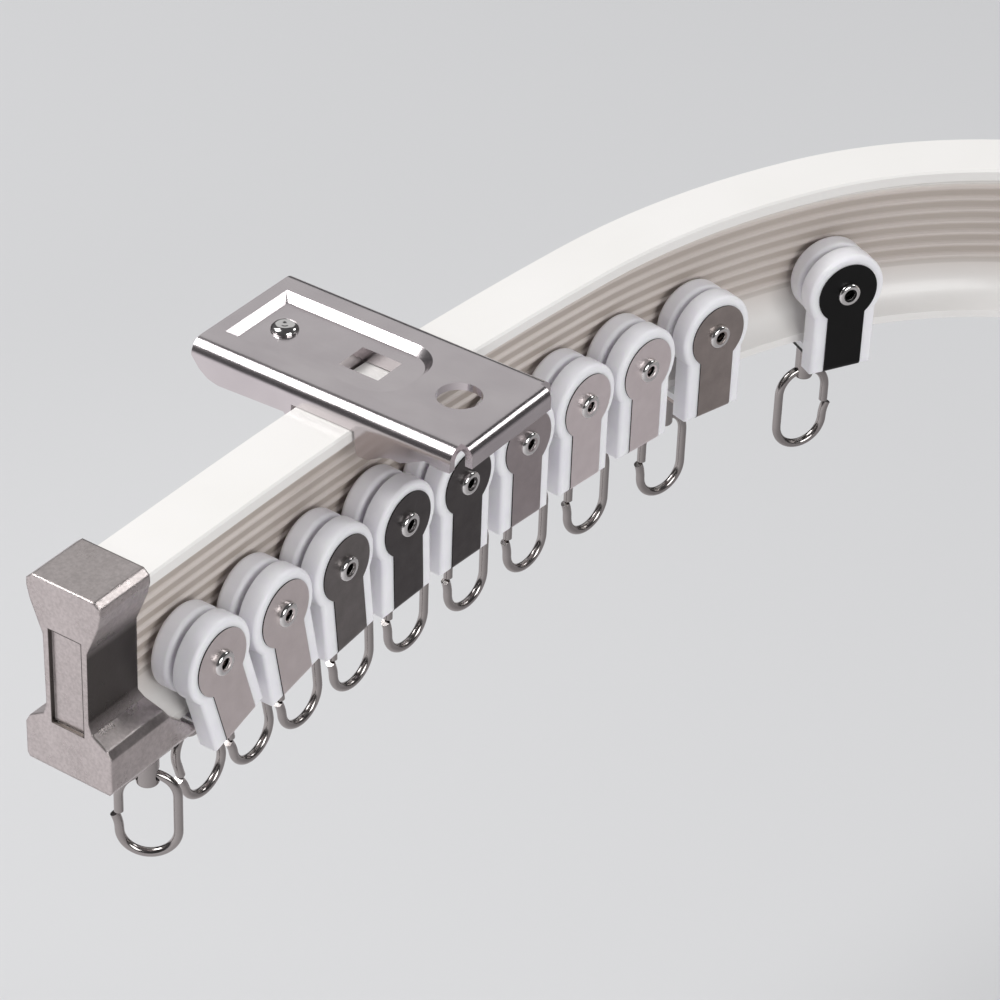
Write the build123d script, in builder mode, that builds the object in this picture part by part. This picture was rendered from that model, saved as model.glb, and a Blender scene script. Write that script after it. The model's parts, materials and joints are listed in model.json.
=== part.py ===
"""Bendable I-section curtain track with end caps, a ceiling bracket, ten roller gliders and hanging rings."""

import math
import os

from build123d import *

os.makedirs("parts", exist_ok=True)

# The frame: origin at the middle of the ceiling bracket's top face, +X along the straight run towards
# the bend, +Y across it to the outside of the bend, +Z up. All sizes are millimetres.
rail_top = -3.0
rail_axis_y = 0.35
cap_face_x = -56.0
cap_wall = 1.6
rail_start_x = cap_face_x + cap_wall

# Rail section, heights measured down from the rail's top
rail_height = 22.0
top_half = 4.2
top_edge = 1.5
web_half = 1.85
web_start = 2.95
web_end = 15.0
foot_half = 4.95
foot_edge = 20.9
rib_first = 3.75
rib_pitch = 1.72
rib_count = 7
rib_height = 0.3
rib_half = 0.42

# Rail route: straight, three tangent arcs that tighten, then a straight run
bend_start_x = -26.0
arc_radii = (525.0, 106.7, 58.5)
arc_turns = (7.03, 19.87, 63.1)
end_run = 26.0

# End caps
cap_length = 8.5
tongue_length = 15.8
cap_over = 1.9
cap_fit = 0.05
panel_depth = 0.45
stud_back = 13.35
stud_radius = 1.4
stud_shank = 0.9
stud_head = 1.5
ring_hole_depth = 32.2
ring_hole = 0.95
stud_bottom = ring_hole_depth + 1.4
tongue_floor = rail_height + 2.85

# Ceiling bracket
plate_half_x = 10.1
plate_half_y = 19.8
sheet = 1.0
bend_radius = 2.0
panel_half_x = 5.9
panel_low_y = -6.2
panel_high_y = plate_half_y - 1.9
panel_drop = 1.0
screw_radius = 2.8
screw_y = -plate_half_y + 7.6
square_x = 4.7
square_y = 5.8
square_mid = (0.3, 1.0)
rivet_y = plate_half_y - 6.2

# Gliders: station along the rail from the bracket's frame origin, and lean about the axle
stations = (-40.15, -28.6, -17.05, -5.35, 6.3, 17.9, 29.45, 41.3, 54.95, 77.75)
leans = (17.0, 11.5, 6.5, 2.5, 0.0, 0.0, 0.0, 0.0, 0.0, 0.0)
axle_depth = 13.3
axle_radius = 1.2
axle_fit = 0.05
wheel_radius = 5.3
wheel_inner = 2.95
wheel_outer = 5.75
cheek_inner = 6.6
cheek_outer = 9.2
rim_round = 0.55
head_radius = 5.45
body_half = 4.5
cheek_bottom = 25.0
bridge_top = 23.6
bridge_bottom = 24.5
bridge_half = 2.8
strap_head = 4.25
strap_half = 2.7
strap_face = 9.35
strap_sheet = 0.6
strap_bottom = 25.1
rivet_head = 1.45
rivet_hole = 0.7
rivet_stand = 0.6

# Rings and their swivels
wire = 0.575
ring_half = 3.475
ring_straight = 5.0
ring_top_depth = 30.45
swivel_radius = 1.2
swivel_shank = 0.8
swivel_fit = 0.07
swivel_head = 1.6
end_ring_turn = -55.8


def route_point(x):
    """Point and heading (degrees) at a distance x along the rail, counted like X on the straight run."""
    if x <= bend_start_x:
        return x, 0.0, 0.0
    left = x - bend_start_x
    px, py, turned = bend_start_x, 0.0, 0.0
    for radius, turn in zip(arc_radii, arc_turns):
        length = radius * math.radians(turn)
        step = min(left, length)
        a = math.radians(turned)
        b = a + step / radius
        px += radius * (math.sin(b) - math.sin(a))
        py += radius * (math.cos(b) - math.cos(a))
        turned = math.degrees(b)
        left -= step
        if left <= 1e-9:
            return px, py, turned
    a = math.radians(turned)
    return px + left * math.cos(a), py - left * math.sin(a), turned


def rail_place(x):
    """Location on top of the rail's centre line, X along the rail, Y to the outside of the bend."""
    px, py, turned = route_point(x)
    return Location((px, py + rail_axis_y, rail_top), (0, 0, -turned))


def half_section(grow):
    """Right half of the rail's section from the top edge down to the foot of the ribs, grown outwards."""
    side = [(top_half + grow, -0.25), (top_half + grow, -top_edge - grow)]
    side.append((web_half + 0.3 + grow, -web_start - grow))
    for k in range(rib_count):
        z = -rib_first - k * rib_pitch
        side.append((web_half + grow, z + rib_half + grow))
        side.append((web_half + rib_height + grow, z + 0.12 + grow))
        side.append((web_half + rib_height + grow, z - 0.12 - grow))
        side.append((web_half + grow, z - rib_half - grow))
    return side


# Rail section, and the same section grown by the caps' fit, x across the rail and y up
sections = []
for grow, top in ((0, 0), (cap_fit, cap_fit)):
    bottom = -rail_height - grow
    side = half_section(grow)
    points = side + [(web_half + grow, -web_end + grow)]
    foot = (foot_half + grow, -foot_edge + grow)
    waist = (2.67 + grow * 1.3, -18.33 + grow)
    with BuildSketch() as section:
        with BuildLine():
            Line((0, top), (top_half + grow - 0.25, top))
            Line((top_half + grow - 0.25, top), side[0])
            Polyline(*points)
            ThreePointArc(points[-1], waist, foot)
            Line(foot, (foot[0], bottom))
            Line((foot[0], bottom), (-foot[0], bottom))
            Line((-foot[0], bottom), (-foot[0], foot[1]))
            ThreePointArc((-foot[0], foot[1]), (-waist[0], waist[1]), (-points[-1][0], points[-1][1]))
            Polyline(*[(-x, y) for x, y in reversed(points)])
            Line((-side[0][0], side[0][1]), (-top_half - grow + 0.25, top))
            Line((-top_half - grow + 0.25, top), (0, top))
        make_face()
    sections.append(section.sketch)


# Rail
with BuildLine() as route:
    start = Vector(rail_start_x, rail_axis_y, rail_top)
    first = Line(start, (bend_start_x, rail_axis_y, rail_top))
    at = bend_start_x
    for arc_radius, arc_turn in zip(arc_radii, arc_turns):
        span = arc_radius * math.radians(arc_turn)
        p0 = rail_place(at).position
        p1 = rail_place(at + span / 2).position
        p2 = rail_place(at + span).position
        ThreePointArc(p0, p1, p2)
        at += span
    rail_end = at + end_run
    Line(rail_place(at).position, rail_place(rail_end).position)

with BuildPart() as rail:
    with BuildSketch(Plane(origin=start, x_dir=(0, 1, 0), z_dir=(1, 0, 0))):
        add(sections[0])
    sweep(path=route.wires()[0])
rail.part.label = "rail"
export_step(rail.part, "parts/rail.step")


# End cap casting, its face at x = 0 and its tongue along +X
cap_half = [(4.4, cap_over), (5.2, 1.2), (5.25, 0.2), (4.8, -1.6), (3.15, -5.6), (3.05, -15.4)]
cap_half += [(3.5, -16.8), (5.6, -18.1), (6.2, -19.2), (6.2, -23.6), (5.3, -25.1)]
cap_plane = Plane(origin=(0, 0, 0), x_dir=(0, 1, 0), z_dir=(1, 0, 0))
side_plane = Plane(origin=(0, 0, 0), x_dir=(1, 0, 0), z_dir=(0, -1, 0))
with BuildPart() as cap_body:
    with BuildSketch(cap_plane):
        with BuildLine():
            Polyline(*cap_half, *[(-x, y) for x, y in reversed(cap_half)], close=True)
        make_face()
    extrude(amount=tongue_length)
    with BuildSketch(side_plane) as tongue_side:
        with BuildLine():
            Polyline(
                (cap_length, 5), (cap_length, -15.6), (10.3, -19.3), (tongue_length - 0.1, 0.85 - tongue_floor),
                (tongue_length + 2, 0.55 - tongue_floor), (tongue_length + 2, 5), close=True,
            )
        make_face()
    extrude(amount=10, both=True, mode=Mode.SUBTRACT)
    with BuildSketch(side_plane):
        with BuildLine():
            Polyline(
                (-1, 0.75 - tongue_floor), (tongue_length + 1, -tongue_floor),
                (tongue_length + 1, -tongue_floor - 3), (-1, -tongue_floor - 3), close=True,
            )
        make_face()
    extrude(amount=10, both=True, mode=Mode.SUBTRACT)
    with BuildSketch(cap_plane):
        with Locations((0, -11.1)):
            Rectangle(4.6, 12.9)
    extrude(amount=panel_depth, mode=Mode.SUBTRACT)
    with BuildSketch(cap_plane.offset(cap_wall)):
        add(sections[1])
    extrude(amount=tongue_length, mode=Mode.SUBTRACT)

with BuildPart() as end_cap:
    with Locations(Location((cap_face_x, rail_axis_y, rail_top))):
        add(cap_body.part)
    with Locations(Location((cap_face_x + stud_back, rail_axis_y, rail_top - tongue_floor + 0.9))):
        Cylinder(stud_shank + swivel_fit, 4, mode=Mode.SUBTRACT)
        Cylinder(
            stud_head + 0.1, 4, align=(Align.CENTER, Align.CENTER, Align.MIN), mode=Mode.SUBTRACT,
        )
end_cap.part.label = "end_cap"
export_step(end_cap.part, "parts/end_cap.step")

far_point = rail_place(rail_end)
with BuildPart() as far_end_cap:
    with Locations(far_point * Location((cap_wall, 0, 0), (0, 0, 180))):
        add(cap_body.part)
far_end_cap.part.label = "far_end_cap"
export_step(far_end_cap.part, "parts/far_end_cap.step")

# Swivel stud under the end cap, hung in the tongue
with BuildPart() as end_cap_swivel:
    with Locations(Location((cap_face_x + stud_back, rail_axis_y, rail_top))):
        with Locations((0, 0, 1.45 - tongue_floor)):
            Cylinder(stud_head, 0.5, align=(Align.CENTER, Align.CENTER, Align.MAX))
        with Locations((0, 0, 1.25 - tongue_floor)):
            Cylinder(stud_shank, 2.0, align=(Align.CENTER, Align.CENTER, Align.MAX))
        with Locations((0, 0, -tongue_floor - 0.15)):
            Cylinder(stud_radius, stud_bottom - tongue_floor - 0.15, align=(Align.CENTER, Align.CENTER, Align.MAX))
    fillet(end_cap_swivel.edges().group_by(Axis.Z)[0], 0.35)
    with Locations(
        Location((cap_face_x + stud_back, rail_axis_y, rail_top - ring_hole_depth), (0, 0, end_ring_turn))
    ):
        Cylinder(ring_hole, 6, rotation=(0, 90, 0), mode=Mode.SUBTRACT)
end_cap_swivel.part.label = "end_cap_swivel"
export_step(end_cap_swivel.part, "parts/end_cap_swivel.step")

# Oval split ring, hanging in its XZ plane with the top of its wire's centre line at the origin
ring_low = -2 * ring_half - ring_straight
with BuildPart() as ring:
    with BuildLine(Plane.XZ) as ring_path:
        cut = -ring_half - 0.5 * ring_straight
        Line((-ring_half, cut + 0.15), (-ring_half, -ring_half))
        ThreePointArc((-ring_half, -ring_half), (0, 0), (ring_half, -ring_half))
        Line((ring_half, -ring_half), (ring_half, -ring_half - ring_straight))
        ThreePointArc(
            (ring_half, -ring_half - ring_straight), (0, ring_low), (-ring_half, -ring_half - ring_straight)
        )
        TangentArc(
            (-ring_half, -ring_half - ring_straight), (-ring_half - 0.5, cut - 0.2), tangent=(0, 1)
        )
    with BuildSketch(Plane(origin=ring_path.wires()[0] @ 0, z_dir=ring_path.wires()[0] % 0)):
        Circle(wire)
    sweep(path=ring_path.wires()[0])

with BuildPart() as end_cap_ring:
    with Locations(
        Location((cap_face_x + stud_back, rail_axis_y, rail_top - ring_hole_depth), (0, 0, end_ring_turn))
    ):
        add(ring.part)
end_cap_ring.part.label = "end_cap_ring"
export_step(end_cap_ring.part, "parts/end_cap_ring.step")

# Ceiling bracket: pressed channel with a sunk panel, claws beside the rail and one bent-down end
with BuildPart() as bracket_plate:
    with BuildSketch(Plane.XZ.offset(-plate_half_y)):
        with BuildLine():
            deep = -7.0
            Line((-plate_half_x, deep), (-plate_half_x, -bend_radius))
            RadiusArc((-plate_half_x, -bend_radius), (-plate_half_x + bend_radius, 0), bend_radius)
            Line((-plate_half_x + bend_radius, 0), (plate_half_x - bend_radius, 0))
            RadiusArc((plate_half_x - bend_radius, 0), (plate_half_x, -bend_radius), bend_radius)
            Line((plate_half_x, -bend_radius), (plate_half_x, deep))
            Line((plate_half_x, deep), (plate_half_x - sheet, deep))
            Line((plate_half_x - sheet, deep), (plate_half_x - sheet, -bend_radius))
            RadiusArc(
                (plate_half_x - sheet, -bend_radius), (plate_half_x - bend_radius, -sheet),
                -(bend_radius - sheet),
            )
            Line((plate_half_x - bend_radius, -sheet), (-plate_half_x + bend_radius, -sheet))
            RadiusArc(
                (-plate_half_x + bend_radius, -sheet), (-plate_half_x + sheet, -bend_radius),
                -(bend_radius - sheet),
            )
            Line((-plate_half_x + sheet, -bend_radius), (-plate_half_x + sheet, deep))
            Line((-plate_half_x + sheet, deep), (-plate_half_x, deep))
        make_face()
    extrude(amount=2 * plate_half_y - 1.6)
    # bent-down short end
    with BuildSketch(Plane.YZ.offset(-plate_half_x + 2.2)):
        with BuildLine():
            low_y = -plate_half_y
            Line((low_y + 1.7, 0), (low_y + 1.5, 0))
            RadiusArc((low_y + 1.5, 0), (low_y, -1.5), -1.5)
            Line((low_y, -1.5), (low_y, -2.9))
            Line((low_y, -2.9), (low_y + sheet, -2.9))
            Line((low_y + sheet, -2.9), (low_y + sheet, -1.5))
            RadiusArc((low_y + sheet, -1.5), (low_y + 1.5, -sheet), 0.5)
            Line((low_y + 1.5, -sheet), (low_y + 1.7, -sheet))
            Line((low_y + 1.7, -sheet), (low_y + 1.7, 0))
        make_face()
    extrude(amount=2 * plate_half_x - 4.4)
    # sunk panel
    with BuildSketch(Plane.XY) as panel:
        with BuildLine():
            r_end = 4.4
            Line((-panel_half_x, panel_high_y), (panel_half_x, panel_high_y))
            Line((panel_half_x, panel_high_y), (panel_half_x, panel_low_y + r_end))
            RadiusArc((panel_half_x, panel_low_y + r_end), (panel_half_x - r_end, panel_low_y), r_end)
            Line((panel_half_x - r_end, panel_low_y), (-panel_half_x + r_end, panel_low_y))
            RadiusArc((-panel_half_x + r_end, panel_low_y), (-panel_half_x, panel_low_y + r_end), r_end)
            Line((-panel_half_x, panel_low_y + r_end), (-panel_half_x, panel_high_y))
        make_face()
    extrude(panel.sketch, amount=-(panel_drop + sheet), taper=32)
    with BuildSketch(Plane.XY) as sink:
        add(panel.sketch)
    extrude(sink.sketch, amount=-panel_drop, taper=42, mode=Mode.SUBTRACT)
    # holes
    with Locations((0, screw_y, 0)):
        Cylinder(screw_radius, 6, mode=Mode.SUBTRACT)
    with Locations((0, rivet_y, 0)):
        Cylinder(1.5, 8, mode=Mode.SUBTRACT)
    with Locations((square_mid[0], square_mid[1], 0)):
        Box(square_x, square_y, 8, mode=Mode.SUBTRACT)
    # lower edges of the long flanges, near side then far side
    for near, shift in ((-1, 0.0), (1, -0.95)):
        with BuildSketch(Plane.YZ.offset(near * (plate_half_x + 1))):
            with BuildLine():
                edge = Polyline(
                    (20.5, -0.9), (19.6, -2.2), (18.6, -3.5), (17.3, -4.4), (15.8, -4.75),
                    (5.9 + shift, -4.35), (5.5 + shift, -4.9), (4.9 + shift, -4.8), (4.75 + shift, -2.9),
                    (-4.5 + shift, -2.9), (-4.75 + shift, -5.9), (-5.3 + shift, -6.15), (-6.6 + shift, -6.0),
                    (-8.2 + shift, -5.0), (-9.6 + shift, -4.5), (-11.2 + shift, -4.5), (-13.2, -3.5),
                    (-14.6, -2.75), (-16.4, -3.1), (-18.2, -3.0), (-20.5, -3.0),
                )
                Polyline((-20.5, -3.0), (-20.5, -8), (20.5, -8), (20.5, -0.9))
            make_face()
        extrude(amount=-near * (sheet + 2.6), mode=Mode.SUBTRACT)
bracket_plate.part.label = "bracket_plate"
export_step(bracket_plate.part, "parts/bracket_plate.step")

# Clamp plate inside the bracket, hooked under both sides of the rail's top flange
heading_x, heading_y, heading = route_point(0)
with BuildPart() as bracket_clamp:
    with BuildSketch(Plane.XY.offset(-panel_drop - sheet)):
        Rectangle(8.0, 12.2, align=(Align.CENTER, Align.CENTER))
        with Locations((0, 11.0)):
            Rectangle(6.4, 10.6)
    extrude(amount=-0.8)
    for side in (-1, 1):
        with Locations((0, side * 4.85, -panel_drop - sheet)):
            Box(8.0, 0.8, 4.35, align=(Align.CENTER, Align.CENTER, Align.MAX))
        with Locations((0, side * 4.15, -5.7)):
            Box(8.0, 2.2, 0.65, align=(Align.CENTER, Align.CENTER, Align.MAX))

with BuildPart() as seated_clamp:
    with Locations(Location((heading_x, heading_y + rail_axis_y, 0), (0, 0, -heading))):
        add(bracket_clamp.part)
    with Locations((0, rivet_y, -3)):
        Cylinder(1.5, 4, mode=Mode.SUBTRACT)
    with Locations((square_mid[0], square_mid[1], -3)):
        Box(square_x, square_y, 2.2, mode=Mode.SUBTRACT)
seated_clamp.part.label = "bracket_clamp"
export_step(seated_clamp.part, "parts/bracket_clamp.step")

with BuildPart() as bracket_rivet:
    with Locations((0, rivet_y, -panel_drop - sheet - 0.8)):
        Cylinder(1.45, sheet + 0.8, align=(Align.CENTER, Align.CENTER, Align.MIN))
        Cylinder(2.2, 0.8, align=(Align.CENTER, Align.CENTER, Align.MAX))
    with Locations((0, rivet_y, -panel_drop)):
        Cylinder(2.35, 0.95, align=(Align.CENTER, Align.CENTER, Align.MIN))
    fillet(bracket_rivet.edges().group_by(Axis.Z)[-1], 0.7)
    fillet(bracket_rivet.edges().group_by(Axis.Z)[0], 0.3)
bracket_rivet.part.label = "bracket_rivet"
export_step(bracket_rivet.part, "parts/bracket_rivet.step")

# Glider pieces in their own frame: origin on the rail's top, X along the rail, Y to the outside of the bend
keyhole = []
for head, half, low in ((head_radius, body_half, cheek_bottom), (strap_head, strap_half, strap_bottom)):
    with BuildSketch(Plane.XZ) as outline:
        with Locations((0, -axle_depth)):
            Circle(head)
        with Locations((0, -axle_depth)):
            Rectangle(2 * half, low - axle_depth, align=(Align.CENTER, Align.MAX))
        neck = outline.vertices().filter_by(lambda v: -low + 1 < v.Z < -axle_depth - 0.1)
        fillet(neck, 0.9)
        if head == head_radius:
            chamfer(outline.vertices().filter_by(lambda v: v.Z < -low + 0.1), 1.2)
    keyhole.append(outline.sketch)

with BuildPart() as housing:
    for side in (-1, 1):
        with BuildSketch(Plane.XZ.offset(-side * cheek_inner)):
            add(keyhole[0])
        extrude(amount=-side * (cheek_outer - cheek_inner))
        with Locations((0, side * cheek_inner, -axle_depth)):
            Cylinder(
                2.4, cheek_inner - wheel_outer - 0.2, rotation=(side * 90, 0, 0),
                align=(Align.CENTER, Align.CENTER, Align.MIN),
            )
    rims = housing.edges().filter_by(lambda e: abs(abs(e.center().Y) - cheek_outer) < 0.01)
    fillet(rims, rim_round)
    with Locations((0, 0, -bridge_bottom)):
        Box(
            2 * bridge_half, 2 * cheek_inner, bridge_bottom - bridge_top,
            align=(Align.CENTER, Align.CENTER, Align.MIN),
        )
    for side in (-1, 1):
        with BuildSketch(Plane.XZ.offset(-side * (strap_face - strap_sheet))):
            add(keyhole[1])
        extrude(amount=-side * 3, mode=Mode.SUBTRACT)
    with Locations((0, 0, -bridge_bottom)):
        Box(2 * strap_half, 30, 4, align=(Align.CENTER, Align.CENTER, Align.MAX), mode=Mode.SUBTRACT)
    with Locations((0, 0, -axle_depth)):
        Cylinder(axle_radius, 30, rotation=(90, 0, 0), mode=Mode.SUBTRACT)
    with Locations((0, 0, -bridge_top)):
        Cylinder(swivel_shank + swivel_fit, 6, mode=Mode.SUBTRACT)
        Cylinder(swivel_head + 0.1, 1.0, mode=Mode.SUBTRACT)

with BuildPart() as strap:
    for side in (-1, 1):
        with BuildSketch(Plane.XZ.offset(-side * (strap_face - strap_sheet))):
            add(keyhole[1])
        extrude(amount=-side * strap_sheet)
    with Locations((0, 0, -strap_bottom)):
        Box(
            2 * strap_half, 2 * strap_face, strap_bottom - bridge_bottom,
            align=(Align.CENTER, Align.CENTER, Align.MIN),
        )
    bends = strap.edges().filter_by(Axis.X).group_by(Axis.Z)[0]
    fillet(bends, 0.9)
    for side in (-1, 1):
        with Locations((0, side * (strap_face + rivet_stand), -axle_depth)):
            Cylinder(
                rivet_head, rivet_stand, rotation=(side * 90, 0, 0),
                align=(Align.CENTER, Align.CENTER, Align.MIN),
            )
            Cylinder(
                axle_radius, strap_face + rivet_stand - wheel_inner + 0.25, rotation=(side * 90, 0, 0),
                align=(Align.CENTER, Align.CENTER, Align.MIN),
            )
        with Locations((0, side * (wheel_inner - 0.1), -axle_depth)):
            Cylinder(
                1.9, 0.35, rotation=(side * 90, 0, 0), align=(Align.CENTER, Align.CENTER, Align.MIN),
            )
        with Locations((0, side * (strap_face + rivet_stand), -axle_depth)):
            Cylinder(rivet_hole, 5, rotation=(90, 0, 0), mode=Mode.SUBTRACT)
    Cylinder(
        swivel_shank + swivel_fit, 80, mode=Mode.SUBTRACT,
    )
    mouths = strap.edges().filter_by(lambda e: abs(abs(e.center().Y) - strap_face - rivet_stand) < 0.01)
    fillet(mouths, 0.25)

with BuildPart() as wheel:
    with Locations((0, wheel_outer, -axle_depth)):
        Cylinder(
            wheel_radius, wheel_outer - wheel_inner, rotation=(90, 0, 0),
            align=(Align.CENTER, Align.CENTER, Align.MIN),
        )
    fillet(wheel.edges(), 0.7)
    with Locations((0, wheel_outer, -axle_depth)):
        Cylinder(axle_radius + axle_fit, 12, rotation=(90, 0, 0), mode=Mode.SUBTRACT)

with BuildPart() as hanger:
    with Locations((0, 0, -strap_bottom - 0.1)):
        Cylinder(
            swivel_radius, ring_top_depth + 1.05 - strap_bottom, align=(Align.CENTER, Align.CENTER, Align.MAX)
        )
    fillet(hanger.edges().group_by(Axis.Z)[0], 0.3)
    with Locations((0, 0, -bridge_top - 0.05)):
        Cylinder(swivel_shank, 2.0, align=(Align.CENTER, Align.CENTER, Align.MAX))
        Cylinder(swivel_head, 0.4, align=(Align.CENTER, Align.CENTER, Align.MAX))
    with Locations((0, 0, -ring_top_depth)):
        add(ring.part)

# Ten gliders set along the rail
pieces = (("housing", housing), ("strap", strap), ("wheel_inner", wheel), ("wheel_outer", wheel))
for number, (station, lean) in enumerate(zip(stations, leans), 1):
    seat = rail_place(station) * Location((0, 0, -axle_depth), (0, -lean, 0)) * Location((0, 0, axle_depth))
    for name, piece in pieces:
        turn = 180 if name == "wheel_inner" else 0
        with BuildPart() as placed:
            with Locations(seat * Location((0, 0, 0), (0, 0, turn))):
                add(piece.part)
        placed.part.label = f"glider_{number}_{name}"
        export_step(placed.part, f"parts/glider_{number}_{name}.step")
    ring_turn = 180 if number == 10 else 0
    with BuildPart() as placed_ring:
        with Locations(seat * Location((0, 0, 0), (0, 0, ring_turn))):
            add(hanger.part)
    placed_ring.part.label = f"glider_{number}_ring"
    export_step(placed_ring.part, f"parts/glider_{number}_ring.step")
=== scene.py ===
import json
import math

import bpy
from mathutils import Matrix, Vector


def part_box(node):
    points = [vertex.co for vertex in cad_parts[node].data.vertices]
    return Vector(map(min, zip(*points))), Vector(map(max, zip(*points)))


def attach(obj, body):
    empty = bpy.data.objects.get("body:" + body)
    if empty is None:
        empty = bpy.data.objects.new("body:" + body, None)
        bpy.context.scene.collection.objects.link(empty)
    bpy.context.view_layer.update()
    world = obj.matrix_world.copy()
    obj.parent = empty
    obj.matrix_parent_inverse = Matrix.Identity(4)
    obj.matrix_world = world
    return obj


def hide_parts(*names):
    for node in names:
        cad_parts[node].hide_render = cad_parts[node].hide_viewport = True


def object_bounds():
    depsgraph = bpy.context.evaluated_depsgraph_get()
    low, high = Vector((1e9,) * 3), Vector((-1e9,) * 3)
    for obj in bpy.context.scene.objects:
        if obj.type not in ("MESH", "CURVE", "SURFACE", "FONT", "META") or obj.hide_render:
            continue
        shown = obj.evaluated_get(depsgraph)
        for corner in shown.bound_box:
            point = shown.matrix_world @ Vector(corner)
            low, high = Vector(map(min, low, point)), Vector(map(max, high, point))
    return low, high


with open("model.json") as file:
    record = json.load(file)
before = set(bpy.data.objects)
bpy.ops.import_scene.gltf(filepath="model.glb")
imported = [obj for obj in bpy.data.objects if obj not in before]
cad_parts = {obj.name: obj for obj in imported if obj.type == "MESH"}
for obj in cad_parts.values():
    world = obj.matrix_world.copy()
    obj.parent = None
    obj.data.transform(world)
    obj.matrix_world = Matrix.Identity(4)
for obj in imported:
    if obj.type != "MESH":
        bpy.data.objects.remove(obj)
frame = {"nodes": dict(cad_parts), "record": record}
cad_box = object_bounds()

MM = 0.001

# Camera: its place, yaw from +X, pitch below the horizon, roll and lens in millimetres
CAMERA_PLACE = Vector((-312.40, -231.09, 251.52)) * MM
CAMERA_YAW = math.radians(34.24)
CAMERA_PITCH = math.radians(34.90)
CAMERA_ROLL = math.radians(2.176)
CAMERA_LENS = 141.17
SENSOR_WIDTH = 36.0

# Surroundings: the floor's depth, half width and fade and the lights' aim in metres, and the sky's strength
FLOOR_DEPTH = 0.135
FLOOR_HALF = 4.0
FLOOR_FADE = 0.25
SKY_STRENGTH = 0.36
LIGHTS_AIM = (0.02, -0.03, -0.01)

# Rail in millimetres below its top: the web between its flanges and its first rib, and the ribs' pitch
WEB_TOP = 6.1
WEB_FOOT = 18.2
RIB_FIRST = 6.75
RIB_PITCH = 1.72

# End cap in millimetres: its sunk panel's middle and half width along Y, its top and foot, and the radius
# with which the cap's edges catch the light. CAP_WAIST has the heights between which painted shade darkens
# its narrow sides.
PANEL_MIDDLE = 0.35
PANEL_HALF = 2.3
PANEL_TOP = -7.65
PANEL_FOOT = -20.55
CAST_EDGE = 0.4
CAP_WAIST = (-20.5, -18.0, -9.5, -6.5)

# Gliders: their number, and in millimetres from the axle's middle to the strap's outer face, and the
# strap's sheet
GLIDERS = 10
AXLE_TO_FACE = 9.35
STRAP_SHEET = 0.6

# Depth of the bracket's sunk panel under its top, in millimetres
PANEL_DROP = 1.0

# Turned profiles as (radius, height) in millimetres: an eyelet over the strap's face, and the bracket's rivet
# over its sunk panel, with its shank and its foot under the sheet
EYELET = [
    (1.60, -0.02), (1.60, 0.16), (1.56, 0.38), (1.43, 0.56), (1.23, 0.64),
    (1.03, 0.63), (0.83, 0.56), (0.70, 0.42), (0.68, 0.20), (0.68, -0.3),
]
RIVET = [
    (0.0, 0.66), (0.35, 0.70), (0.7, 0.84), (1.05, 0.82), (1.4, 0.66), (1.66, 0.4), (1.75, 0.12),
    (1.75, 0.0), (1.45, 0.0), (1.45, -1.8), (2.2, -1.8), (2.2, -2.3), (1.9, -2.6), (0.0, -2.6),
]

# Colours
COAT = ((0.84, 0.82, 0.79), (0.87, 0.85, 0.825))
# Painted shade: the rail's web darker, and darker still in the valleys between its ribs
WEB_PAINTED_SHADE = (0.64, 0.575, 0.535)
VALLEY_PAINTED_SHADE = (0.40, 0.345, 0.30)
CAST = ((0.49, 0.445, 0.435), (0.69, 0.63, 0.62))
# Painted shade: a thin dark line round the cap's sunk panel
PANEL_GROOVE_SHADE = (0.07, 0.06, 0.055)
# Painted shade on the cap's narrow sides between its head and its foot
WAIST_PAINTED_SHADE = (0.10, 0.09, 0.085)
BRIGHT = ((0.62, 0.575, 0.59), (0.70, 0.655, 0.665))
NYLON = ((0.86, 0.845, 0.89), (0.91, 0.90, 0.93))
# Painted shade on the straps' edges
STRAP_EDGE_SHADE = (0.02, 0.018, 0.018)
RIVET_STEEL = (0.80, 0.79, 0.78)
RING_WIRE = (0.40, 0.375, 0.365)
FLOOR = (0.66, 0.66, 0.665)
FLOOR_MIRRORED = ((0.74, 0.72, 0.73), (0.40, 0.385, 0.39))
SKY = (0.80, 0.81, 0.84)
SKY_MIRRORED = (0.22, 0.215, 0.22)

# Tones of the ten straps: light and dark colour, metallic, low and high roughness. Each steel strap's tone is
# a painted reflection, lighter on some straps and darker on others, and the last strap is black.
LIGHT = ((0.84, 0.765, 0.755), (0.78, 0.705, 0.695), 1.0, 0.34, 0.48)
GREY = ((0.25, 0.23, 0.225), (0.20, 0.185, 0.18), 1.0, 0.34, 0.46)
DARK = ((0.125, 0.115, 0.115), (0.10, 0.092, 0.092), 1.0, 0.34, 0.46)
SOFT = ((0.50, 0.445, 0.45), (0.44, 0.39, 0.395), 1.0, 0.34, 0.48)
PALE = ((0.97, 0.885, 0.885), (0.91, 0.825, 0.825), 1.0, 0.34, 0.48)
BROWN = ((0.44, 0.385, 0.365), (0.37, 0.325, 0.305), 1.0, 0.34, 0.48)
BLACK = ((0.004, 0.004, 0.004), (0.003, 0.003, 0.003), 0.0, 0.30, 0.42)
STRAPS = (LIGHT, LIGHT, GREY, DARK, DARK, SOFT, PALE, PALE, BROWN, BLACK)


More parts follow.
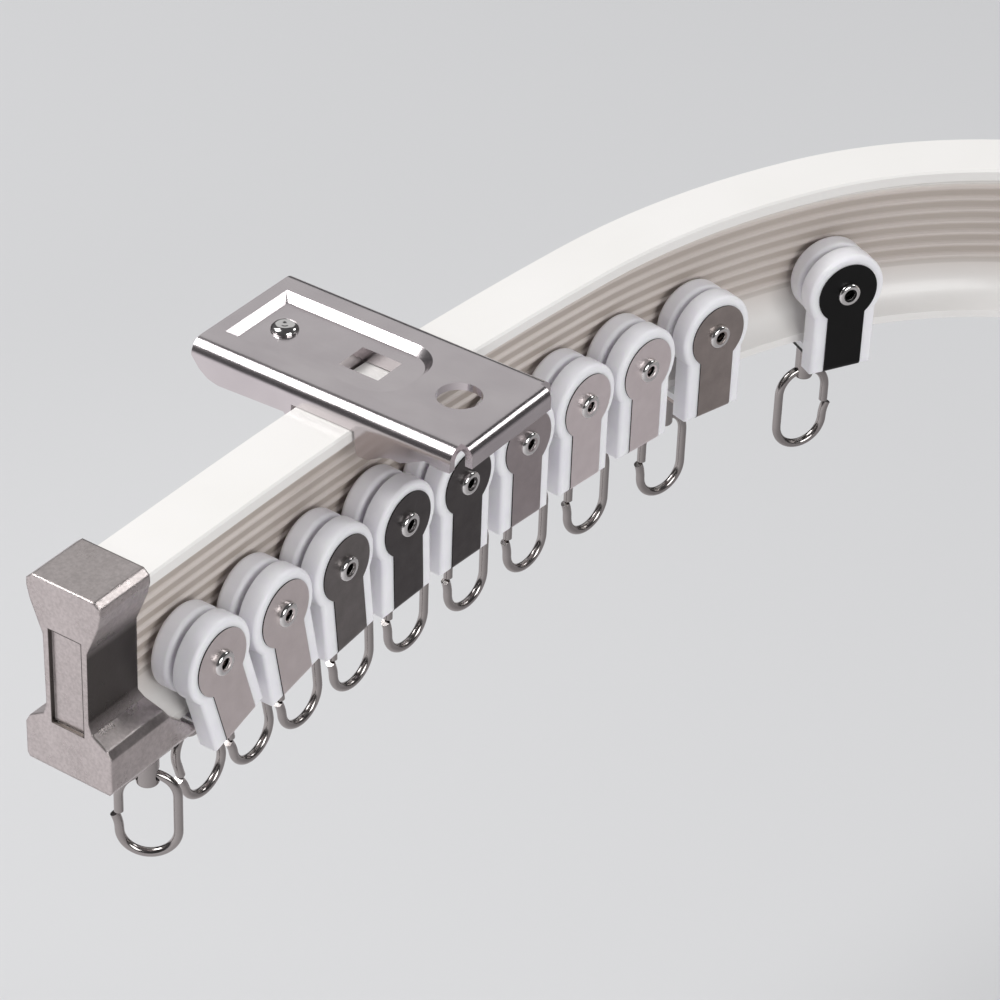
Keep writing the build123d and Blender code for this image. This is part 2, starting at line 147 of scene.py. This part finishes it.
# Node helpers
class Shader:
    """A material with one Principled shader and short calls for the nodes that feed it."""

    def __init__(self, name, color, metallic=0.0, roughness=0.5):
        self.material = bpy.data.materials.new(name)
        self.material.use_nodes = True
        self.nodes = self.material.node_tree.nodes
        self.links = self.material.node_tree.links
        self.main = self.nodes["Principled BSDF"]
        self.set("Base Color", (*color, 1.0))
        self.set("Metallic", metallic)
        self.set("Roughness", roughness)
        self.material.diffuse_color = (*color, 1.0)
        coordinates = self.nodes.new("ShaderNodeTexCoord")
        self.place = coordinates.outputs["Object"]
        self.facing = coordinates.outputs["Normal"]

    def set(self, socket, value):
        self.main.inputs[socket].default_value = value

    def feed(self, socket, output):
        self.links.new(output, self.main.inputs[socket])

    def stretched(self, scale):
        """Object coordinates scaled by a vector."""
        node = self.nodes.new("ShaderNodeMapping")
        node.inputs["Scale"].default_value = scale
        self.links.new(self.place, node.inputs["Vector"])
        return node.outputs["Vector"]

    def noise(self, scale, detail=3.0, rough=0.5, vector=None):
        node = self.nodes.new("ShaderNodeTexNoise")
        node.inputs["Scale"].default_value = scale
        node.inputs["Detail"].default_value = detail
        node.inputs["Roughness"].default_value = rough
        self.links.new(vector or self.place, node.inputs["Vector"])
        return node.outputs["Fac"]

    def ranged(self, value, low, high, to_low=0.0, to_high=1.0):
        node = self.nodes.new("ShaderNodeMapRange")
        for name, number in (("From Min", low), ("From Max", high), ("To Min", to_low), ("To Max", to_high)):
            node.inputs[name].default_value = number
        self.links.new(value, node.inputs["Value"])
        return node.outputs["Result"]

    def math(self, operation, *values):
        """A Math node. Each value may be a number or a node's output."""
        node = self.nodes.new("ShaderNodeMath")
        node.operation = operation
        for socket, value in zip(node.inputs, values):
            if isinstance(value, (int, float)):
                socket.default_value = value
            else:
                self.links.new(value, socket)
        return node.outputs[0]

    def part(self, axis):
        """One of the X, Y and Z of the place on the object, in metres."""
        node = self.nodes.new("ShaderNodeSeparateXYZ")
        self.links.new(self.place, node.inputs[0])
        return node.outputs[axis]

    def along(self, vector, direction, start=(0.0, 0.0, 0.0)):
        """How far a vector's end lies from a start along a direction, without its sign."""
        less = self.nodes.new("ShaderNodeVectorMath")
        less.operation = "SUBTRACT"
        self.links.new(vector, less.inputs[0])
        less.inputs[1].default_value = start
        dot = self.nodes.new("ShaderNodeVectorMath")
        dot.operation = "DOT_PRODUCT"
        self.links.new(less.outputs["Vector"], dot.inputs[0])
        dot.inputs[1].default_value = direction
        return self.math("ABSOLUTE", dot.outputs["Value"])

    def mixed(self, factor, first, second):
        """Colour that goes from first to second with a factor. Each may be a colour or a node's output."""
        node = self.nodes.new("ShaderNodeMix")
        node.data_type = "RGBA"
        self.links.new(factor, node.inputs["Factor"])
        for socket, value in ((node.inputs[6], first), (node.inputs[7], second)):
            if isinstance(value, tuple):
                socket.default_value = (*value, 1.0)
            else:
                self.links.new(value, socket)
        return node.outputs[2]

    def bump(self, height, strength, distance, round_edges=0.0):
        """Relief from a height. Sharp edges may also catch the light as if they had a small radius."""
        node = self.nodes.new("ShaderNodeBump")
        if round_edges:
            edge = self.nodes.new("ShaderNodeBevel")
            edge.samples = 6
            edge.inputs["Radius"].default_value = round_edges
            self.links.new(edge.outputs["Normal"], node.inputs["Normal"])
        node.inputs["Strength"].default_value = strength
        node.inputs["Distance"].default_value = distance
        self.links.new(height, node.inputs["Height"])
        self.feed("Normal", node.outputs["Normal"])


def rail_coat():
    """Warm white satin coating on a bent extrusion: die lines along it, and beige painted shade on its web,
    darkest in the valleys between its ribs.
    """
    shader = Shader("rail_coat", (0.85, 0.83, 0.80), 0.0, 0.34)
    lines = shader.noise(1.0, 2.0, 0.6, shader.stretched((30, 30, 5200)))
    cloud = shader.ranged(shader.noise(55, 3.0, 0.5), 0.3, 0.7)
    # Painted shade on the web between the flanges, deepest in the valleys between the ribs
    depth = shader.math("MULTIPLY", shader.part("Z"), -1 / MM)
    under_top = shader.ranged(depth, WEB_TOP, WEB_TOP + 0.5)
    over_foot = shader.ranged(depth, WEB_FOOT + 3.5, WEB_FOOT - 1.5)
    web = shader.math("MULTIPLY", under_top, over_foot)
    ribs = shader.math("DIVIDE", shader.math("SUBTRACT", depth, RIB_FIRST), RIB_PITCH)
    between = shader.ranged(shader.math("PINGPONG", ribs, 0.5), 0.16, 0.34)
    valley = shader.math("MULTIPLY", between, shader.ranged(depth, WEB_FOOT + 0.3, WEB_FOOT))
    side = shader.mixed(shader.math("MULTIPLY", valley, 0.75), WEB_PAINTED_SHADE, VALLEY_PAINTED_SHADE)
    shader.feed("Base Color", shader.mixed(web, shader.mixed(cloud, *COAT), side))
    shader.feed("Roughness", shader.ranged(lines, 0.25, 0.75, 0.28, 0.42))
    shader.bump(lines, 0.10, 0.00006)
    shader.set("Coat Weight", 0.25)
    shader.set("Coat Roughness", 0.18)
    return shader.material


def panel_groove_shade(shader):
    """Thin line of painted shade round the sunk panel in the cap's front face."""
    aside = shader.math("ABSOLUTE", shader.math("SUBTRACT", shader.part("Y"), PANEL_MIDDLE * MM))
    above = shader.math("SUBTRACT", shader.part("Z"), (PANEL_TOP + PANEL_FOOT) / 2 * MM)
    past_side = shader.math("SUBTRACT", aside, PANEL_HALF * MM)
    past_end = shader.math("SUBTRACT", shader.math("ABSOLUTE", above), (PANEL_TOP - PANEL_FOOT) / 2 * MM)
    beyond = shader.math("ABSOLUTE", shader.math("MAXIMUM", past_side, past_end))
    cap_face = cad_box[0][0]
    front = shader.ranged(shader.part("X"), cap_face + 1.0 * MM, cap_face + 0.7 * MM)
    return shader.math("MULTIPLY", shader.ranged(beyond, 0.16 * MM, 0.05 * MM), front)


def cast_nickel(name="cap_nickel", panel=True):
    """Satin nickel on a die casting: fine grain, uneven gloss, a line of painted shade round the sunk panel
    and painted shade on its narrow sides.
    """
    shader = Shader(name, (0.56, 0.52, 0.49), 1.0, 0.30)
    grain = shader.noise(2300, 2.0, 0.6)
    patch = shader.ranged(shader.noise(240, 4.0, 0.6), 0.3, 0.7)
    mottle = shader.math("MULTIPLY", shader.math("ADD", patch, shader.ranged(grain, 0.35, 0.65)), 0.5)
    color = shader.mixed(mottle, *CAST)
    if panel:
        # Painted shade in a thin line round the sunk panel
        color = shader.mixed(panel_groove_shade(shader), color, PANEL_GROOVE_SHADE)
    # Painted shade on the narrow sides of the cap's waist
    foot, foot_full, top_full, top = (height * MM for height in CAP_WAIST)
    under_head = shader.ranged(shader.part("Z"), top, top_full)
    over_foot = shader.ranged(shader.part("Z"), foot, foot_full)
    waist = shader.math("MULTIPLY", under_head, over_foot)
    sides = shader.ranged(shader.along(shader.facing, (0.0, 1.0, 0.0)), 0.5, 0.9)
    shader.feed("Base Color", shader.mixed(shader.math("MULTIPLY", waist, sides), color, WAIST_PAINTED_SHADE))
    shader.feed("Roughness", shader.ranged(patch, 0.0, 1.0, 0.25, 0.36))
    shader.bump(grain, 0.22, 0.00005, CAST_EDGE * MM)
    return shader.material


def sheet_nickel():
    """Bright nickel on pressed sheet: soft waviness and faint rolling marks."""
    shader = Shader("bracket_nickel", (0.66, 0.61, 0.625), 1.0, 0.2)
    wave = shader.noise(120, 2.0, 0.5)
    rolled = shader.noise(1.0, 3.0, 0.6, shader.stretched((2600, 120, 400)))
    shader.feed("Base Color", shader.mixed(shader.ranged(wave, 0.3, 0.7), *BRIGHT))
    shader.feed("Roughness", shader.ranged(rolled, 0.2, 0.8, 0.15, 0.26))
    shader.bump(wave, 0.3, 0.0003)
    return shader.material


def polished_steel(name, color, roughness):
    """Polished steel with light handling marks."""
    shader = Shader(name, color, 1.0, roughness)
    marks = shader.noise(900, 4.0, 0.65)
    shader.feed("Roughness", shader.ranged(marks, 0.35, 0.7, roughness * 0.7, roughness * 2.0))
    shader.bump(marks, 0.05, 0.00005)
    return shader.material


def milky_nylon():
    """Translucent milky white moulding."""
    shader = Shader("nylon_white", (0.87, 0.86, 0.90), 0.0, 0.36)
    cloud = shader.ranged(shader.noise(260, 3.0, 0.5), 0.3, 0.7)
    shader.feed("Base Color", shader.mixed(cloud, *NYLON))
    shader.feed("Roughness", shader.ranged(cloud, 0.0, 1.0, 0.30, 0.44))
    shader.set("Subsurface Weight", 0.45)
    shader.set("Subsurface Radius", (1.0, 0.9, 1.05))
    shader.set("Subsurface Scale", 0.0015)
    shader.bump(shader.noise(1500, 2.0, 0.5), 0.08, 0.00004)
    return shader.material


def strip_steel(name, light, dark, metallic, rough_low, rough_high, axle, axis):
    """Flat strip with a fine blasted grain and painted shade on its edges, for the strap on one glider's
    axle.
    """
    shader = Shader(name, light, metallic, rough_low)
    grain = shader.noise(4200, 3.0, 0.65)
    patch = shader.ranged(shader.noise(420, 3.0, 0.55), 0.3, 0.7)
    # Painted shade on the strap's edge faces
    edge_faces = shader.ranged(shader.along(shader.facing, axis), 0.6, 0.3)
    inside = (AXLE_TO_FACE - STRAP_SHEET) * MM
    outside = shader.ranged(shader.along(shader.place, axis, axle), inside - 0.3 * MM, inside - 0.1 * MM)
    edge = shader.math("MULTIPLY", edge_faces, outside)
    shader.feed("Base Color", shader.mixed(edge, shader.mixed(patch, dark, light), STRAP_EDGE_SHADE))
    shader.feed("Roughness", shader.ranged(grain, 0.3, 0.7, rough_low, rough_high))
    shader.bump(grain, 0.22, 0.00004)
    shader.set("Specular IOR Level", 0.2)
    return shader.material


def lathe(name, profile, origin, axis, steps=40):
    """Mesh turned from (radius, height) points in millimetres about an axis through an origin in metres."""
    axis = Vector(axis).normalized()
    side = axis.orthogonal().normalized()
    other = axis.cross(side)
    points, faces, rows = [], [], []
    for radius, height in profile:
        middle = Vector(origin) + axis * height * MM
        count = 1 if radius == 0 else steps
        rows.append(range(len(points), len(points) + count))
        for step in range(count):
            angle = 2 * math.pi * step / count
            points.append(middle + (side * math.cos(angle) + other * math.sin(angle)) * radius * MM)
    for row, below in zip(rows, rows[1:]):
        for step in range(steps):
            after = (step + 1) % steps
            corners = ((row, step), (below, step), (below, after), (row, after))
            faces.append(list(dict.fromkeys(line[place % len(line)] for line, place in corners)))
    mesh = bpy.data.meshes.new(name)
    mesh.from_pydata(points, [], faces)
    for polygon in mesh.polygons:
        polygon.use_smooth = True
    piece = bpy.data.objects.new(name, mesh)
    bpy.context.scene.collection.objects.link(piece)
    piece.data.materials.append(materials["rivet_steel"])
    return piece


joints = {joint["name"]: joint for joint in frame["record"]["behaviour"]["joints"]}
materials = {
    "rail_coat": rail_coat(),
    "cap_nickel": cast_nickel(),
    "bracket_nickel": sheet_nickel(),
    "rivet_steel": polished_steel("rivet_steel", RIVET_STEEL, 0.10),
    "nylon_white": milky_nylon(),
    "ring_wire": polished_steel("ring_wire", RING_WIRE, 0.13),
}

for entry in frame["record"]["subparts"]:
    name, slot = entry["node"], entry["material_slot"]
    if name.endswith("_strap"):
        number = int(name.split("_")[1])
        joint = joints[f"glider_{number}_wheel_inner_spin"]
        # The steel straps' tones are painted reflections
        material = strip_steel(f"{slot}_{number}", *STRAPS[number - 1], joint["pos_m"], joint["axis"])
    elif name == "far_end_cap":
        material = cast_nickel("far_cap_nickel", False)
    else:
        material = materials[slot]
    node = frame["nodes"][name]
    node.data.materials.clear()
    node.data.materials.append(material)

# Rolled eyelets on both faces of each glider, and the peened rivet in the bracket's panel
for number in range(1, GLIDERS + 1):
    joint = joints[f"glider_{number}_wheel_inner_spin"]
    for side, name in ((-1, "inner"), (1, "outer")):
        axis = Vector(joint["axis"]) * side
        origin = Vector(joint["pos_m"]) + axis * AXLE_TO_FACE * MM
        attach(lathe(f"glider_{number}_eyelet_{name}", EYELET, origin, axis), f"glider_{number}")
low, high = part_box("bracket_rivet")
middle = ((low[0] + high[0]) / 2, (low[1] + high[1]) / 2, -PANEL_DROP * MM)
rivet = lathe("bracket_rivet_peened", RIVET, middle, (0, 0, 1))
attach(rivet, "track")
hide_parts("bracket_rivet")


def make_camera():
    """Camera from its place and its yaw, pitch and roll."""
    yaw_cos, yaw_sin = math.cos(CAMERA_YAW), math.sin(CAMERA_YAW)
    pitch_cos, pitch_sin = math.cos(CAMERA_PITCH), math.sin(CAMERA_PITCH)
    forward = Vector((yaw_cos * pitch_cos, yaw_sin * pitch_cos, -pitch_sin))
    level = Vector((yaw_sin, -yaw_cos, 0.0))
    upright = level.cross(forward)
    right = math.cos(CAMERA_ROLL) * level + math.sin(CAMERA_ROLL) * upright
    up = -math.sin(CAMERA_ROLL) * level + math.cos(CAMERA_ROLL) * upright
    data = bpy.data.cameras.new("camera")
    data.sensor_width = SENSOR_WIDTH
    data.lens = CAMERA_LENS
    data.clip_start = 0.01
    data.clip_end = 50.0
    camera = bpy.data.objects.new("camera", data)
    turn = Matrix((right, up, -forward)).transposed()
    camera.matrix_world = Matrix.Translation(CAMERA_PLACE) @ turn.to_4x4()
    bpy.context.scene.collection.objects.link(camera)
    bpy.context.scene.camera = camera


def make_floor():
    """Plain pale floor well below the hanging rings, which metals see darker towards one side."""
    bpy.ops.mesh.primitive_plane_add(size=2 * FLOOR_HALF, location=(0, 0, -FLOOR_DEPTH))
    floor = bpy.context.object
    floor.name = "floor"
    shader = Shader("floor", FLOOR, 0.0, 0.9)
    shader.set("Specular IOR Level", 0.2)
    across = shader.math("SUBTRACT", shader.part("X"), shader.part("Y"))
    mirrored = shader.mixed(shader.ranged(across, -FLOOR_FADE, FLOOR_FADE), *FLOOR_MIRRORED)
    glossy = shader.nodes.new("ShaderNodeLightPath").outputs["Is Glossy Ray"]
    shader.feed("Base Color", shader.mixed(glossy, FLOOR, mirrored))
    floor.data.materials.append(shader.material)


def area_light(name, place, width, height, power):
    """White rectangular light at a place in metres, aimed at the part, with its power in watts."""
    data = bpy.data.lights.new(name, "AREA")
    data.shape = "RECTANGLE"
    data.size = width
    data.size_y = height
    data.energy = power
    light = bpy.data.objects.new(name, data)
    light.location = place
    aim = Vector(LIGHTS_AIM) - Vector(place)
    light.rotation_euler = aim.to_track_quat("-Z", "Y").to_euler()
    bpy.context.scene.collection.objects.link(light)


def make_world():
    """Even pale light, which metals see as a dim room."""
    world = bpy.data.worlds.new("world")
    world.use_nodes = True
    nodes, links = world.node_tree.nodes, world.node_tree.links
    back = nodes["Background"]
    mix = nodes.new("ShaderNodeMix")
    mix.data_type = "RGBA"
    links.new(nodes.new("ShaderNodeLightPath").outputs["Is Glossy Ray"], mix.inputs["Factor"])
    mix.inputs[6].default_value = (*SKY, 1.0)
    mix.inputs[7].default_value = (*SKY_MIRRORED, 1.0)
    links.new(mix.outputs[2], back.inputs["Color"])
    back.inputs["Strength"].default_value = SKY_STRENGTH
    bpy.context.scene.world = world


make_camera()
make_floor()
make_world()
area_light("key", (-0.35, 0.55, 0.80), 0.55, 0.55, 8.8)
area_light("front", (-0.25, -0.75, 0.30), 0.50, 0.35, 3.1)
area_light("side", (0.65, -0.45, 0.55), 0.26, 0.26, 0.95)
area_light("card", (0.60, 0.40, 0.50), 0.75, 0.60, 0.75)

bpy.context.scene.view_settings.view_transform = "Standard"
